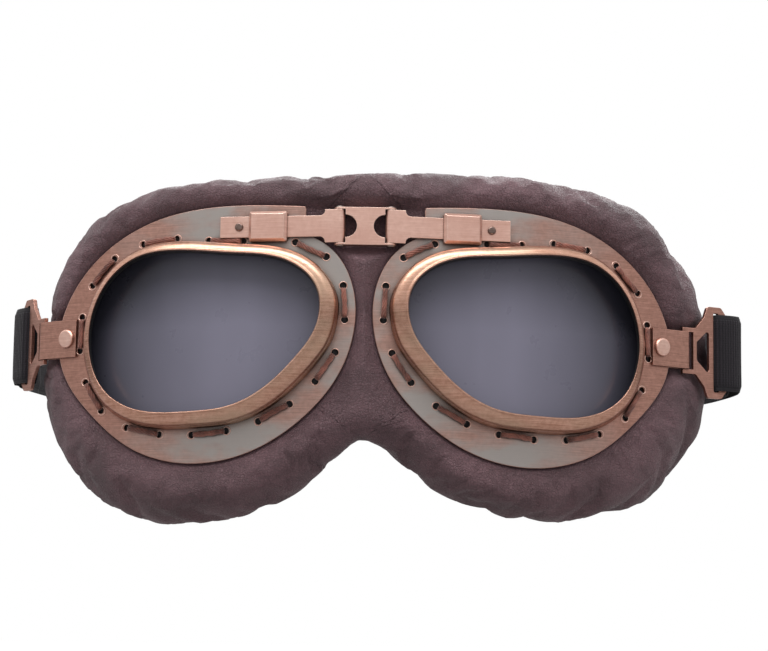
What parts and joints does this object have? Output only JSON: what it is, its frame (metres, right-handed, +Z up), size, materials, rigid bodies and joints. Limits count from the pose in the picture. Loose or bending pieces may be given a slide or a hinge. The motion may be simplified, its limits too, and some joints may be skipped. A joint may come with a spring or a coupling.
{
  "type": "motorcycle goggles",
  "caption": "Padded vintage riding goggles: two raised oval lens frames on an adjustable hinged bridge, laced to a soft leather mask, with swinging buckles and an elastic head strap.",
  "frame": {"origin": "centre of the bridge link's front face", "axes": "+Z up, the lenses face -Y, +X is the viewer's right (the wearer's left)"},
  "size_m": [0.2346, 0.2139, 0.1107],
  "materials": {
    "antique_copper": "brushed antique copper plate with grey patina",
    "bright_copper": "brushed copper plate, worn bright",
    "pin_steel": "satin",
    "smoked_lens": "smoked grey, gradient, glossy",
    "gasket_rubber": "matte black",
    "lace_thread": "waxed copper-brown cord",
    "mask_leather": "fine-grained soft leather, dark mauve brown",
    "mask_foam": "open-cell foam",
    "lining_fabric": "soft brushed knit",
    "strap_elastic": "ribbed woven elastic",
    "slider_black": "satin moulded"
  },
  "bodies": {
    "bridge": {"bridge_link": "bright_copper", "left_bridge_pin": "pin_steel", "right_bridge_pin": "pin_steel", "mask_nose_piece": "mask_leather", "strap_rear": "strap_elastic"},
    "left_strip": {"left_bridge_strip": "bright_copper", "left_stop_stud": "pin_steel"},
    "left_frame": {"left_frame_plate": "antique_copper", "left_bezel": "antique_copper", "left_lens": "smoked_lens", "left_lens_gasket": "gasket_rubber", "left_lacing": "lace_thread", "left_keeper": "bright_copper", "left_strap_tab": "antique_copper", "left_tab_rivet": "bright_copper", "left_rivet_washer": "antique_copper", "left_mask_cover": "mask_leather", "left_mask_foam": "mask_foam", "left_mask_lining": "lining_fabric"},
    "left_buckle": {"left_buckle": "antique_copper", "left_strap_end": "strap_elastic"},
    "right_strip": {"right_bridge_strip": "bright_copper", "right_stop_stud": "pin_steel"},
    "right_frame": {"right_frame_plate": "antique_copper", "right_bezel": "antique_copper", "right_lens": "smoked_lens", "right_lens_gasket": "gasket_rubber", "right_lacing": "lace_thread", "right_keeper": "bright_copper", "right_strap_tab": "antique_copper", "right_tab_rivet": "bright_copper", "right_rivet_washer": "antique_copper", "right_mask_cover": "mask_leather", "right_mask_foam": "mask_foam", "right_mask_lining": "lining_fabric"},
    "right_buckle": {"right_buckle": "antique_copper", "right_strap_end": "strap_elastic"},
    "slider": {"strap_slider": "slider_black"}
  },
  "joints": [
    {"name": "left_bridge_hinge", "type": "hinge", "parent": "bridge", "child": "left_strip", "pos_m": [-0.0079, 0.0017, 0], "axis": [0, 0, -1], "range_deg": [-6, 10]},
    {"name": "left_bridge_slide", "type": "slide", "parent": "left_strip", "child": "left_frame", "axis": [-0.9863, 0.165, 0], "range_m": [-0.0022, 0.0018]},
    {"name": "left_buckle_swing", "type": "hinge", "parent": "left_frame", "child": "left_buckle", "pos_m": [-0.10368, 0.03722, -0.0326], "axis": [0, 0, -1], "range_deg": [-80, 6]},
    {"name": "right_bridge_hinge", "type": "hinge", "parent": "bridge", "child": "right_strip", "pos_m": [0.0079, 0.0017, 0], "axis": [0, 0, 1], "range_deg": [-6, 10]},
    {"name": "right_bridge_slide", "type": "slide", "parent": "right_strip", "child": "right_frame", "axis": [0.9863, 0.165, 0], "range_m": [-0.0022, 0.0018]},
    {"name": "right_buckle_swing", "type": "hinge", "parent": "right_frame", "child": "right_buckle", "pos_m": [0.10368, 0.03722, -0.0326], "axis": [0, 0, 1], "range_deg": [-55, 8]},
    {"name": "slider_travel", "type": "slide", "parent": "bridge", "child": "slider", "axis": [1, 0, 0], "range_m": [-0.015, 0.015]}
  ]
}
